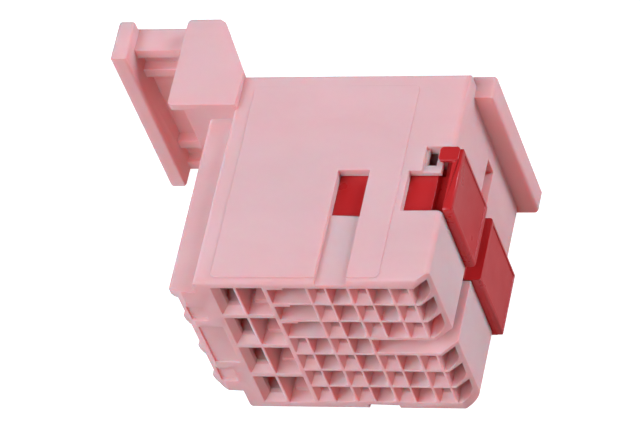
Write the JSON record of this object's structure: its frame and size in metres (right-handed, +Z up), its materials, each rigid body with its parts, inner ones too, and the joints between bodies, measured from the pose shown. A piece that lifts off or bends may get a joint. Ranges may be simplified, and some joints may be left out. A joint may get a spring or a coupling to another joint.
{
  "type": "wiring harness connector",
  "caption": "Female harness connector housing with rows of small and large terminal cavities, a side retainer that slides in to lock the terminals, and rails to hold it on a bracket.",
  "frame": {"origin": "middle of the underside of the housing's body", "axes": "+X across the width from the fixing arm to the retainer, +Y from the mating face to the wire side, +Z up"},
  "size_m": [0.0314, 0.0246, 0.0174],
  "materials": {
    "housing": "satin moulded",
    "retainer": "semi gloss moulded"
  },
  "bodies": {
    "housing": {"housing": "housing"},
    "side_retainer": {"side_retainer": "retainer"}
  },
  "joints": [
    {"name": "retainer_push", "type": "slide", "parent": "housing", "child": "side_retainer", "axis": [-1, 0, 0], "range_m": [0, 0.0007]}
  ]
}
